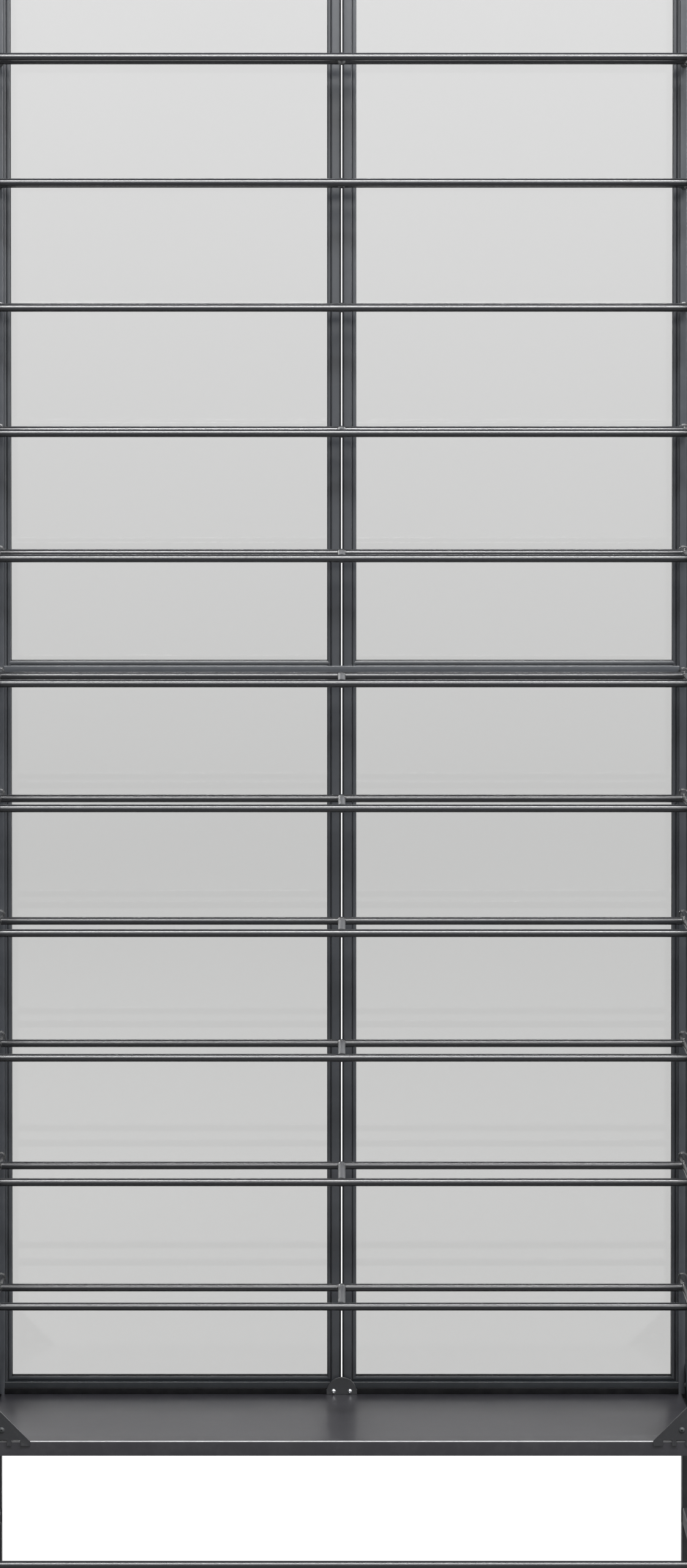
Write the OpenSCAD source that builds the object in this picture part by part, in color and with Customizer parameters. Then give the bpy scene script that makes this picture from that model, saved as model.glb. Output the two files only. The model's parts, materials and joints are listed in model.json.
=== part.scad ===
// Box-type window guard: a welded cage of round bars on four posts, with a sheet
// sill tray, and a pair of glazed leaves that swing away from the bars on butt hinges.
// Millimetres. +X to the right and +Y from the outside (bars) to the inside (leaves).
// The origin is on the floor, in the middle of the guard's footprint.

/* [Cage] */
// Clear width between the side ties
clear_w = 833; // [500:1:1400]
// Rows of bars
bar_rows = 11; // [3:1:13]
// Height from one row to the next
bar_pitch = 150; // [90:1:200]
// Height of the lowest row above the floor
first_bar_z = 400; // [340:1:600]
// Diameter of the front and inner bars
bar_d = 9.5; // [6:0.1:16]
// Diameter of the side ties
side_tie_d = 10; // [7:0.1:17]
// Diameter of the centre ties
centre_tie_d = 9; // [5:0.1:15]
// From the front of the posts to the front bars
front_bar_y = 65; // [45:1:120]
// From the front bars to the inner bars
bar_row_gap = 100; // [50:1:200]
// From the inner bars to the face of the leaf frame
frame_gap = 55; // [25:1:120]

/* [Posts and rails] */
// Width of a front post
front_post_w = 25; // [20:0.5:40]
// Width of a rear post
rear_post_w = 20; // [16:0.5:30]
// Wall of the posts and rails
tube_wall = 1.5; // [1:0.1:3]
// Height of the square rails
rail_w = 20; // [15:0.5:25]
// How far the rear posts stand outside the side ties' inner face
rear_post_inset = 5.5; // [2:0.1:8]
// Height of the base bar above the floor
base_bar_z = 103; // [60:1:200]
// Height of a foot below its post
foot_h = 6; // [3:0.5:15]
// Thickness of a post's top cap
cap_h = 3; // [2:0.5:8]

/* [Sill tray] */
// Height of the tray's top face above the floor
tray_z = 255; // [180:1:320]
// Thickness of the tray's sheet
sheet_t = 1.5; // [1:0.1:3]
// Depth of the tray's front flange
flange_h = 18; // [10:0.5:40]
// Depth of the tray's side flanges
side_flange_h = 12; // [6:0.5:18]
// How far the side rails' tops lie below the tray
rail_drop = 6; // [2:0.5:9]

/* [Corner gussets] */
// Leg of a gusset along the tray and up the post
gusset_leg = 47; // [40:0.5:60]
// Thickness of a gusset
gusset_t = 2; // [1.5:0.1:4]
// How far a gusset laps onto its post
gusset_lap = 18; // [10:0.5:20]
// How far a gusset's tabs reach down the flange
gusset_tab_h = 6; // [3:0.5:8]
// Width of a notch between two tabs
notch_w = 10.3; // [6:0.1:12]
// Width of a tab
tab_w = 5.9; // [4:0.1:8]
// Thread of the gusset bolts
bolt_d = 4; // [3:0.5:5]
// Head diameter of the gusset bolts
bolt_head_d = 7.6; // [6:0.1:9]
// Head height of the gusset bolts
bolt_head_h = 2.3; // [1.5:0.1:3]
// From the tray corner to a gusset bolt
bolt_in = 13; // [10:0.5:14]
// Leg of a rear gusset along the side rail and up the rear post
rear_gusset_leg = 42; // [35:0.5:60]

/* [Leaf frame] */
// Width of the frame strips at the sides
jamb_w = 8.5; // [7:0.1:14]
// Thickness of the frame strips
strip_t = 4; // [2:0.1:6]
// Height of the sill strip
sill_strip_h = 8; // [6:0.5:20]
// Height of the transom strip
transom_h = 8.5; // [6:0.5:16]
// Height of the tray's rear upstand
upstand_h = 6; // [5:0.5:12]
// Gap between the upstand and the sill strip
sill_gap = 1; // [1:0.5:6]
// Underside of the leaves above the tray
floor_gap = 3; // [3:0.5:8]
// Row of bars that the transom stands behind
transom_row = 6; // [2:1:12]
// Middle of the transom above the middle of its row
transom_rise = 3; // [-4:0.5:8]

/* [Leaves] */
// Gap between the two leaves
meeting_gap = 2.5; // [2:0.1:6]
// Width of a leaf's rails and meeting stile
rail_face_w = 16.5; // [14:0.5:26]
// Visible width of a leaf's hinge stile
hinge_stile_w = 12.5; // [11:0.5:14]
// Depth of the leaf section
leaf_depth = 19; // [16:0.5:26]
// Clearance round a leaf
leaf_clear = 1; // [0.6:0.1:2]
// Width of the bead beside the glass
bead_w = 4.5; // [3:0.1:6]
// How far the bead is set back
bead_set = 4; // [2:0.1:6]
// Thickness of the glass
glass_t = 4; // [3:0.5:6]
// How far the glass sits in its groove
glass_bite = 5; // [3:0.5:7]

/* [Hinges and keeper] */
// Hinge pin diameter
pin_d = 4; // [3:0.5:5]
// Outside diameter of a knuckle
knuckle_d = 8; // [6.5:0.1:9]
// Height of a hinge
hinge_h = 63; // [45:1:90]
// Thickness of a hinge flap
flap_t = 1.5; // [1:0.1:2]
// Running clearance of a hinge pin, on the radius
pin_clear = 0.05; // [0.02:0.01:0.1]
// Radius of the half-round keeper plate
keeper_r = 18.8; // [14:0.1:20]
// Height of the keeper plate
keeper_h = 21.4; // [20:0.1:30]
// Thickness of the keeper plate
keeper_t = 2.5; // [2:0.1:4]

/* [Wall fixing] */
// Radius of the wall bolt holes in the rear posts
wall_hole_r = 3.25; // [2:0.05:4.5]
// Height of the lower wall bolt holes
wall_hole_z = 330; // [290:1:380]
// Rise from the lower to the upper wall bolt holes
wall_hole_rise = 1500; // [500:1:1550]

/* [Hidden] */
$fn = 64;
eps = 0.01;

// Heights
top_z = first_bar_z + bar_rows * bar_pitch + rail_w / 2;
head_z = top_z - rail_w;
sill_z = tray_z + upstand_h + sill_gap;
leaf_z0 = tray_z + floor_gap;
head_gap = 4;
leaf_z1 = head_z - head_gap;
transom_z = first_bar_z + (transom_row - 1) * bar_pitch + transom_rise;
mid_rail_rise = 1.5;
mid_rail_z = transom_z + mid_rail_rise;
rail_top = tray_z - rail_drop;

// Widths, each from the middle of the guard
half_clear = clear_w / 2;
tie_x = half_clear + side_tie_d / 2;
rear_x = half_clear + rear_post_inset;
outer_x = rear_x + rear_post_w;
front_x = outer_x - front_post_w;
jamb_x = half_clear + jamb_w;
leaf_x1 = rear_x - leaf_clear;
leaf_x0 = meeting_gap / 2;

// Depths, from the front of the posts
frame_y = front_bar_y + bar_row_gap + frame_gap;
rear_post_y = frame_y + strip_t;
leaf_y = rear_post_y + leaf_clear;
back_y = leaf_y + leaf_depth;
knuckle_stand = 0.5;
knuckle_y = back_y + knuckle_d / 2 + knuckle_stand;
hinge_x = rear_x - leaf_clear / 2;
front_reach = gusset_t + bolt_head_h;
rear_reach = knuckle_y + knuckle_d / 2;
// Where the posts' front faces lie along y
y0 = (front_reach - rear_reach) / 2;

// Post feet and caps: their stems inside the tubes
stem_len = 12;
stem_lap = 1;

// Tray, cleats and small fixings
bend_r = sheet_t + 0.5;
notch_over = 0.6;
cleat_t = 2;
cleat_half = 7;
cleat_h = bolt_in + cleat_half;
cleat_foot = 12;
stack_t = gusset_t + cleat_t;
nut_h = 0.8 * bolt_d;
screw_d = 3;
screw_head_d = 6;
screw_head_h = 2;
screw_x = 10;
screw_below = 2;
screw_z = tray_z + upstand_h - screw_below;

// Leaves: the edges of the glass that show, and the glass in its groove
head_lap = 8;
glass_x0 = leaf_x0 + rail_face_w;
glass_x1 = leaf_x1 - hinge_stile_w;
step = rail_face_w - hinge_stile_w;
section_corner = 0.8;
glass_front = 9;
groove_d = glass_bite + 1;

// Hinges: the leaf's flap stays on the hinge stile, clear of the glass
hinge_inset = 90;
hinge_zs = [leaf_z0 + hinge_inset, mid_rail_z, leaf_z1 - hinge_inset];
knuckle_gap = 0.4;
knuckle_h = hinge_h / 3;
flap_gap = knuckle_d / 2 + knuckle_gap;
flap_edge = 0.5;
leaf_flap_w = hinge_x - flap_gap - glass_x1 - flap_edge;
post_flap_w = 13;
pin_head_over = 1;
pin_head_h = 1.2;

paint = "#3b3d40";
strip_paint = "#4d5055";
leaf_paint = "#45494e";
tray_paint = "#5a5a5d";
glass_tint = "#d2d3d3";
zinc = "#b9bbbd";
plastic = "#232425";

function row_z(i) = first_bar_z + (i - 1) * bar_pitch;
function bar_name(i) = str("front_bar_", i < 10 ? "0" : "", i);

// A solid block from its two corners, with y counted from the front of the posts.
module block(lo, hi) {
    translate([lo[0], lo[1] + y0, lo[2]])
        cube([hi[0] - lo[0], hi[1] - lo[1], hi[2] - lo[2]]);
}

// A square tube between two corners, hollow along one axis (0 = x, 1 = y, 2 = z).
module square_tube(lo, hi, along) {
    difference() {
        block(lo, hi);
        block([for (k = [0:2]) k == along ? lo[k] - 1 : lo[k] + tube_wall],
              [for (k = [0:2]) k == along ? hi[k] + 1 : hi[k] - tube_wall]);
    }
}

// A round rod along y.
module rod_y(x, ya, yb, z, d) {
    translate([x, ya + y0, z]) rotate([-90, 0, 0]) cylinder(d = d, h = yb - ya);
}

// A round rod along x, centred on the middle of the guard.
module rod_x(half, y, z, d) {
    translate([-half, y + y0, z]) rotate([0, 90, 0]) cylinder(d = d, h = 2 * half);
}

module mirrored(side) {
    mirror([side < 0 ? 1 : 0, 0, 0]) children();
}

// ---- Posts and rails ----

module front_post(side) {
    color(paint) mirrored(side)
        square_tube([front_x, 0, foot_h], [outer_x, front_post_w, top_z], 2);
}

module rear_post(side) {
    color(paint) mirrored(side) difference() {
        square_tube([rear_x, rear_post_y, foot_h], [outer_x, back_y, top_z], 2);
        for (z = [wall_hole_z, wall_hole_z + wall_hole_rise])
            translate([rear_x - 1, y0 + (rear_post_y + back_y) / 2, z])
                rotate([0, 90, 0]) cylinder(r = wall_hole_r, h = rear_post_w + 2);
    }
}

// A plug with a plate: the foot or the cap of one post.
module post_plug(x0, ya, yb, z0, z1, stem_z0, stem_z1) {
    block([x0, ya, z0], [outer_x, yb, z1]);
    block([x0 + tube_wall, ya + tube_wall, stem_z0],
          [outer_x - tube_wall, yb - tube_wall, stem_z1]);
}

module post_feet() {
    color(plastic) for (side = [-1, 1]) mirrored(side) {
        post_plug(front_x, 0, front_post_w, 0, foot_h, foot_h - stem_lap, foot_h + stem_len);
        post_plug(rear_x, rear_post_y, back_y, 0, foot_h, foot_h - stem_lap, foot_h + stem_len);
    }
}

module post_caps() {
    color(plastic) for (side = [-1, 1]) mirrored(side) {
        post_plug(front_x, 0, front_post_w, top_z, top_z + cap_h,
                  top_z - stem_len, top_z + stem_lap);
        post_plug(rear_x, rear_post_y, back_y, top_z, top_z + cap_h,
                  top_z - stem_len, top_z + stem_lap);
    }
}

module top_rail_front() {
    color(paint) square_tube([-front_x, 0, head_z], [front_x, front_post_w, top_z], 0);
}

module top_rail_rear() {
    color(paint) square_tube([-rear_x, rear_post_y, head_z], [rear_x, back_y, top_z], 0);
}

// A rail from the front post to the rear post on one side, its top at z.
module side_rail(side, z) {
    color(paint) mirrored(side)
        square_tube([rear_x, front_post_w, z - rail_w], [outer_x, rear_post_y, z], 1);
}

module tray_rail_rear() {
    color(paint) square_tube([-rear_x, rear_post_y, tray_z - sheet_t - rail_w],
                             [rear_x, back_y, tray_z - sheet_t], 0);
}

module base_bar() {
    color(paint) rod_x(front_x, front_post_w / 2, base_bar_z, bar_d);
}

// ---- Bars and ties ----

// A bar from side tie to side tie, its ends coped to fit round them.
module cross_bar(y, z) {
    difference() {
        rod_x(tie_x, y, z, bar_d);
        for (side = [-1, 1]) rod_y(side * tie_x, y - bar_d, y + bar_d, z, side_tie_d);
    }
}

module front_bar(i) {
    color(paint) cross_bar(front_bar_y, row_z(i));
}

module inner_bars() {
    color(paint) for (i = [1:bar_rows]) cross_bar(front_bar_y + bar_row_gap, row_z(i));
}

// Short ties between the two bars of each row, coped at both ends.
module centre_ties() {
    back = front_bar_y + bar_row_gap;
    color(strip_paint) for (i = [1:bar_rows]) difference() {
        rod_y(0, front_bar_y, back, row_z(i), centre_tie_d);
        for (y = [front_bar_y, back]) rod_x(centre_tie_d, y, row_z(i), bar_d);
    }
}

module side_ties(side) {
    color(strip_paint) for (i = [1:bar_rows])
        rod_y(side * tie_x, front_post_w, frame_y, row_z(i), side_tie_d);
}

// ---- Sill tray ----

// The tray's outline from above, with its front corners cut round the front posts.
module tray_outline() {
    translate([0, y0]) polygon([
        [-front_x, 0], [front_x, 0],
        [front_x, front_post_w], [rear_x, front_post_w],
        [rear_x, back_y], [-rear_x, back_y],
        [-rear_x, front_post_w], [-front_x, front_post_w]]);
}

module sill_tray() {
    color(tray_paint) difference() {
        union() {
            translate([0, 0, tray_z - sheet_t]) linear_extrude(sheet_t) tray_outline();
            block([-front_x, 0, tray_z - flange_h], [front_x, sheet_t, tray_z]);
            block([-half_clear, frame_y, tray_z - eps],
                  [half_clear, frame_y + sheet_t, tray_z + upstand_h]);
            for (side = [-1, 1]) mirrored(side)
                block([rear_x - sheet_t, front_post_w, tray_z - side_flange_h],
                      [rear_x, rear_post_y, tray_z]);
        }
        // The rounded bend along the front edge.
        difference() {
            block([-front_x - 1, -1, tray_z - bend_r], [front_x + 1, bend_r, tray_z + 1]);
            rod_x(front_x + 2, bend_r, tray_z - bend_r, 2 * bend_r);
        }
        for (side = [-1, 1]) rod_y(side * screw_x, frame_y - 1, leaf_y, screw_z, screw_d);
    }
}

// ---- Corner gussets ----

// The face of a gusset in x and z, from the corner of post and tray.
module gusset_outline() {
    difference() {
        polygon([
            [-gusset_leg, 0], [0, gusset_leg], [gusset_lap, gusset_leg],
            [gusset_lap, -gusset_tab_h], [-gusset_leg, -gusset_tab_h]]);
        for (k = [0:1])
            translate([-gusset_leg + 2 * tab_w + k * (notch_w + tab_w), -gusset_tab_h - 1])
                square([notch_w, gusset_tab_h + 1 + notch_over]);
    }
}

module gusset(side) {
    color(paint) mirrored(side) difference() {
        translate([front_x, y0, tray_z]) rotate([90, 0, 0])
            linear_extrude(gusset_t) gusset_outline();
        gusset_bolt_hole();
    }
}

// Places what is drawn on the z axis at a bolt, the head side facing +z.
module at_gusset_bolt() {
    translate([front_x - bolt_in, y0 - gusset_t, tray_z + bolt_in]) rotate([90, 0, 0]) children();
}

module at_rear_bolt() {
    translate([jamb_x, y0 + rear_post_y - bolt_in, tray_z + bolt_in])
        rotate([0, -90, 0]) children();
}

module gusset_bolt_hole() {
    at_gusset_bolt() translate([0, 0, -stack_t - 1]) cylinder(d = bolt_d, h = stack_t + 2);
}

// The rear gussets stand on the side rails, against the rear posts.
module rear_gussets() {
    foot_z = rail_top - tray_z;
    color(paint) for (side = [-1, 1]) mirrored(side) difference() {
        translate([jamb_x, y0 + rear_post_y, tray_z]) rotate([90, 0, 90])
            linear_extrude(gusset_t)
                polygon([[0, foot_z], [0, rear_gusset_leg], [-rear_gusset_leg, foot_z]]);
        at_rear_bolt() translate([0, 0, -gusset_t - 1]) cylinder(d = bolt_d, h = gusset_t + 2);
    }
}

// Angle cleats that the gussets bolt to: the front pair stands on the tray.
module front_cleat() {
    difference() {
        union() {
            block([front_x - bolt_in - cleat_half, 0, tray_z],
                  [front_x - bolt_in + cleat_half, cleat_t, tray_z + cleat_h]);
            block([front_x - bolt_in - cleat_half, 0, tray_z],
                  [front_x - bolt_in + cleat_half, cleat_foot, tray_z + cleat_t]);
        }
        gusset_bolt_hole();
    }
}

// The rear pair stands on the side rails, outside the rear gussets.
module rear_cleat() {
    x0 = jamb_x + gusset_t;
    difference() {
        union() {
            block([x0, rear_post_y - bolt_in - cleat_half, rail_top],
                  [x0 + cleat_t, rear_post_y - bolt_in + cleat_half, tray_z + cleat_h]);
            block([x0, rear_post_y - bolt_in - cleat_half, rail_top],
                  [x0 + cleat_foot, rear_post_y - bolt_in + cleat_half, rail_top + cleat_t]);
        }
        at_rear_bolt() translate([0, 0, -stack_t - 1]) cylinder(d = bolt_d, h = stack_t + 2);
    }
}

module corner_cleats() {
    color(paint) for (side = [-1, 1]) mirrored(side) {
        front_cleat();
        rear_cleat();
    }
}

// A domed head on the z axis from z = 0 up, with its shank below.
module dome_screw(head_d, head_h, shank_d, len) {
    cap_r = (pow(head_d / 2, 2) + pow(head_h, 2)) / (2 * head_h);
    intersection() {
        translate([0, 0, head_h - cap_r]) sphere(r = cap_r);
        cylinder(d = head_d, h = head_h);
    }
    translate([0, 0, -len]) cylinder(d = shank_d, h = len + eps);
}

module gusset_bolts() {
    len = stack_t + nut_h + 1;
    color(zinc) for (side = [-1, 1]) mirrored(side) {
        at_gusset_bolt() dome_screw(bolt_head_d, bolt_head_h, bolt_d, len);
        at_rear_bolt() dome_screw(bolt_head_d, bolt_head_h, bolt_d, len);
    }
}

module hex_nut() {
    translate([0, 0, -stack_t - nut_h]) difference() {
        cylinder(d = 2 * bolt_d, h = nut_h, $fn = 6);
        translate([0, 0, -1]) cylinder(d = bolt_d, h = nut_h + 2);
    }
}

module gusset_nuts() {
    color(zinc) for (side = [-1, 1]) mirrored(side) {
        at_gusset_bolt() hex_nut();
        at_rear_bolt() hex_nut();
    }
}

// ---- Keeper plate ----

// A half-round plate against the tray's upstand, where the two leaves meet.
module keeper_plate() {
    rise = keeper_h - keeper_r;
    color(paint) difference() {
        union() {
            intersection() {
                rod_y(0, frame_y - keeper_t, frame_y, tray_z + rise, 2 * keeper_r);
                block([-keeper_r, 0, tray_z + rise], [keeper_r, frame_y, tray_z + keeper_h]);
            }
            block([-keeper_r, frame_y - keeper_t, tray_z],
                  [keeper_r, frame_y, tray_z + rise + eps]);
        }
        for (side = [-1, 1]) rod_y(side * screw_x, 0, frame_y + 1, screw_z, screw_d);
    }
}

module keeper_screws() {
    color(zinc) for (side = [-1, 1])
        translate([side * screw_x, y0 + frame_y - keeper_t, screw_z]) rotate([90, 0, 0])
            dome_screw(screw_head_d, screw_head_h, screw_d, keeper_t + sheet_t + 2);
}

// ---- Frame strips that the leaves close against ----

module jamb(side) {
    color(strip_paint) mirrored(side)
        block([half_clear, frame_y, tray_z], [jamb_x, rear_post_y, head_z]);
}

module frame_strip(z0, z1) {
    color(strip_paint) block([-half_clear, frame_y, z0], [half_clear, rear_post_y, z1]);
}

// ---- Leaves ----

// The leaf section: u runs from the glass side outwards, v from the front backwards.
module leaf_section(w) {
    polygon([
        [0, bead_set], [bead_w, bead_set], [bead_w, 0],
        [w - section_corner, 0], [w, section_corner],
        [w, leaf_depth], [0, leaf_depth],
        [0, glass_front + glass_t], [groove_d, glass_front + glass_t],
        [groove_d, glass_front], [0, glass_front]]);
}

// A prism in x and z that goes right through the leaf's depth.
module leaf_prism(points) {
    translate([0, y0 + leaf_y + leaf_depth + 1, 0]) rotate([90, 0, 0])
        linear_extrude(leaf_depth + 2) polygon(points);
}

// The right leaf's stiles and rails, mitred at 45 degrees from the inner corners.
module hinge_stile() {
    color(leaf_paint) intersection() {
        translate([glass_x1, y0 + leaf_y, leaf_z0])
            linear_extrude(leaf_z1 - leaf_z0) leaf_section(hinge_stile_w);
        leaf_prism([
            [glass_x1, leaf_z0 + rail_face_w], [leaf_x1, leaf_z0 + step],
            [leaf_x1, leaf_z1 - step], [glass_x1, leaf_z1 - rail_face_w]]);
    }
}

module meeting_stile() {
    color(leaf_paint) intersection() {
        translate([glass_x0, y0 + leaf_y, leaf_z0])
            mirror([1, 0, 0]) linear_extrude(leaf_z1 - leaf_z0) leaf_section(rail_face_w);
        leaf_prism([
            [glass_x0, leaf_z0 + rail_face_w], [leaf_x0, leaf_z0],
            [leaf_x0, leaf_z1], [glass_x0, leaf_z1 - rail_face_w]]);
    }
}

// A rail section swept along x, the glass side up (dir = 1) or down (dir = -1).
module rail_sweep(glass_z, dir) {
    translate([leaf_x0, y0 + leaf_y, glass_z]) mirror([0, 0, dir > 0 ? 0 : 1])
        rotate([0, 90, 0]) linear_extrude(leaf_x1 - leaf_x0) leaf_section(rail_face_w);
}

module bottom_rail() {
    glass_z = leaf_z0 + rail_face_w;
    color(leaf_paint) intersection() {
        rail_sweep(glass_z, 1);
        leaf_prism([
            [leaf_x0, leaf_z0], [leaf_x1, leaf_z0], [leaf_x1, leaf_z0 + step],
            [glass_x1, glass_z], [glass_x0, glass_z]]);
    }
}

module top_rail() {
    glass_z = leaf_z1 - rail_face_w;
    color(leaf_paint) intersection() {
        rail_sweep(glass_z, -1);
        leaf_prism([
            [leaf_x0, leaf_z1], [leaf_x1, leaf_z1], [leaf_x1, leaf_z1 - step],
            [glass_x1, glass_z], [glass_x0, glass_z]]);
    }
}

// The middle rail has a bead and a groove on both sides, and laps over the stiles' beads.
module mid_rail() {
    half = rail_face_w / 2;
    lo = mid_rail_z - half;
    hi = mid_rail_z + half;
    color(leaf_paint) difference() {
        union() {
            block([glass_x0, leaf_y + bead_set, lo], [glass_x1, leaf_y + leaf_depth, hi]);
            block([glass_x0 - bead_w, leaf_y, lo + bead_w],
                  [glass_x1 + bead_w, leaf_y + bead_set, hi - bead_w]);
        }
        for (z = [lo - 1, hi - groove_d])
            block([glass_x0 - 1, leaf_y + glass_front, z],
                  [glass_x1 + 1, leaf_y + glass_front + glass_t, z + groove_d + 1]);
    }
}

module glass_panes() {
    spans = [
        [leaf_z0 + rail_face_w - glass_bite, mid_rail_z - rail_face_w / 2 + glass_bite],
        [mid_rail_z + rail_face_w / 2 - glass_bite, leaf_z1 - rail_face_w + glass_bite]];
    color(glass_tint) for (span = spans)
        block([glass_x0 - glass_bite, leaf_y + glass_front, span[0]],
              [glass_x1 + glass_bite, leaf_y + glass_front + glass_t, span[1]]);
}

// ---- Butt hinges ----

// A knuckle round the hinge axis, drilled for its pin.
module knuckle(z0, z1, bore_r) {
    translate([hinge_x, y0 + knuckle_y, z0]) difference() {
        cylinder(d = knuckle_d, h = z1 - z0);
        translate([0, 0, -1]) cylinder(r = bore_r, h = z1 - z0 + 2);
    }
}

// A short web from a flap to its knuckle, cut clear of the pin's bore.
module knuckle_web(x_edge, z0, z1, bore_r) {
    difference() {
        block([min(hinge_x, x_edge), back_y, z0], [max(hinge_x, x_edge), back_y + flap_t, z1]);
        translate([hinge_x, y0 + knuckle_y, z0 - 1]) cylinder(r = bore_r, h = z1 - z0 + 2);
    }
}

// The flap on the leaf carries the middle knuckle.
module leaf_flaps() {
    r = pin_d / 2 + pin_clear;
    color(zinc) for (z = hinge_zs) {
        lo = z - knuckle_h / 2 + knuckle_gap / 2;
        hi = z + knuckle_h / 2 - knuckle_gap / 2;
        block([hinge_x - flap_gap - leaf_flap_w, back_y, z - hinge_h / 2],
              [hinge_x - flap_gap, back_y + flap_t, z + hinge_h / 2]);
        knuckle_web(hinge_x - flap_gap, lo, hi, r);
        knuckle(lo, hi, r);
    }
}

// The flap on the post carries the two outer knuckles.
module post_flaps() {
    color(zinc) for (side = [-1, 1]) mirrored(side) for (z = hinge_zs) {
        block([hinge_x + flap_gap, back_y, z - hinge_h / 2],
              [hinge_x + flap_gap + post_flap_w, back_y + flap_t, z + hinge_h / 2]);
        for (end = [-1, 1]) {
            za = z + end * (knuckle_h / 2 + knuckle_gap / 2);
            zb = z + end * hinge_h / 2;
            knuckle_web(hinge_x + flap_gap, min(za, zb), max(za, zb), pin_d / 2);
            knuckle(min(za, zb), max(za, zb), pin_d / 2);
        }
    }
}

module hinge_pins() {
    color(zinc) for (side = [-1, 1]) mirrored(side) for (z = hinge_zs)
        translate([hinge_x, y0 + knuckle_y, z - hinge_h / 2]) {
            cylinder(d = pin_d, h = hinge_h);
            translate([0, 0, hinge_h]) cylinder(d = pin_d + 2 * pin_head_over, h = pin_head_h);
        }
}

// ---- Assembly ----

LEAF_PARTS = ["hinge_stile", "meeting_stile", "top_rail", "mid_rail", "bottom_rail",
              "glass_panes", "hinge_flaps"];

front_post(-1);  // front_post_left
front_post(1);  // front_post_right
rear_post(-1);  // rear_post_left
rear_post(1);  // rear_post_right
post_feet();
post_caps();
top_rail_front();
top_rail_rear();
side_rail(-1, top_z);  // top_rail_left
side_rail(1, top_z);  // top_rail_right
side_rail(-1, rail_top);  // tray_rail_left
side_rail(1, rail_top);  // tray_rail_right
tray_rail_rear();
union() {  // base_rails
    for (side = [-1, 1]) side_rail(side, base_bar_z + rail_w / 2);
}
base_bar();
for (i = [1:bar_rows]) front_bar(i);
inner_bars();
centre_ties();
side_ties(-1);  // side_ties_left
side_ties(1);  // side_ties_right
sill_tray();
gusset(-1);  // gusset_left
gusset(1);  // gusset_right
rear_gussets();
corner_cleats();
gusset_bolts();
gusset_nuts();
keeper_plate();
keeper_screws();
jamb(-1);  // jamb_left
jamb(1);  // jamb_right
frame_strip(leaf_z1 - head_lap, head_z);  // frame_head
frame_strip(sill_z, sill_z + sill_strip_h);  // frame_sill
union() {  // frame_transom
    frame_strip(transom_z - transom_h / 2, transom_z + transom_h / 2);
}
post_flaps();  // post_hinge_flaps
hinge_pins();
mirrored(-1) hinge_stile();  // left_hinge_stile
hinge_stile();  // right_hinge_stile
mirrored(-1) meeting_stile();  // left_meeting_stile
meeting_stile();  // right_meeting_stile
mirrored(-1) top_rail();  // left_top_rail
top_rail();  // right_top_rail
mirrored(-1) mid_rail();  // left_mid_rail
mid_rail();  // right_mid_rail
mirrored(-1) bottom_rail();  // left_bottom_rail
bottom_rail();  // right_bottom_rail
mirrored(-1) glass_panes();  // left_glass_panes
glass_panes();  // right_glass_panes
mirrored(-1) leaf_flaps();  // left_hinge_flaps
leaf_flaps();  // right_hinge_flaps
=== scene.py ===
"""Looks for a window guard of round bars with glazed leaves behind it."""
import json
import math

import bmesh
import bpy
import numpy as np
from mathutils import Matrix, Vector


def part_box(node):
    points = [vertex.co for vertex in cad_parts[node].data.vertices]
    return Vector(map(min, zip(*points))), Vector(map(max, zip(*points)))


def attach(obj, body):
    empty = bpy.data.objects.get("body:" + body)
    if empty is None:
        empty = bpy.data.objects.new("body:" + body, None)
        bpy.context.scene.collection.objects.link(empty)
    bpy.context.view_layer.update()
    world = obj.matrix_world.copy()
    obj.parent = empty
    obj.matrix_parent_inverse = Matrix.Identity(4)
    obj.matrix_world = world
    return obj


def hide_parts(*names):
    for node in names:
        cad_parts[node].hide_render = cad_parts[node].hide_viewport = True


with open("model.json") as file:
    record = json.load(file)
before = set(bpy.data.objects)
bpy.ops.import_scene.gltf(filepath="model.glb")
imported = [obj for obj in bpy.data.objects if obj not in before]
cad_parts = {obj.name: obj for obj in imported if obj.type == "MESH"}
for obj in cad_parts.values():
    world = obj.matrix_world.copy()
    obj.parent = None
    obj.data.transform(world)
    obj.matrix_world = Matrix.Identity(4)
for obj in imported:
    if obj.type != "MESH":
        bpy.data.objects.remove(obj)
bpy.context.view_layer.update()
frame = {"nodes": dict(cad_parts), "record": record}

MM = 0.001
X, Y, Z = np.eye(3)
LEFT, RIGHT = -1, 1


def lo(node):
    return np.array(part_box(node)[0], float)


def hi(node):
    return np.array(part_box(node)[1], float)


def mid(node):
    return (lo(node) + hi(node)) / 2


# ---------------------------------------------------------------- camera

BAR_PLANE_Y = mid("front_bar_01")[1]
EYE_HEIGHT = 1.651
EYE_DISTANCE = 5.35
TILT_DOWN = math.radians(1.2)
SENSOR_HEIGHT_MM = 24.0
LENS_MM = 68.4656
SHIFT_UP = -0.27109
SHIFT_ASIDE = 0.00117
FAR_CLIP = 60

eye = bpy.data.objects.new("eye", bpy.data.cameras.new("eye"))
bpy.context.scene.collection.objects.link(eye)
eye.data.sensor_fit = "VERTICAL"
eye.data.sensor_height = SENSOR_HEIGHT_MM
eye.data.lens = LENS_MM
eye.data.shift_y = SHIFT_UP
eye.data.shift_x = SHIFT_ASIDE
eye.data.clip_end = FAR_CLIP
eye.location = (0, BAR_PLANE_Y - EYE_DISTANCE, EYE_HEIGHT)
eye.rotation_euler = (math.pi / 2 - TILT_DOWN, 0, 0)
bpy.context.scene.camera = eye


# ---------------------------------------------------------------- finishes

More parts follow.
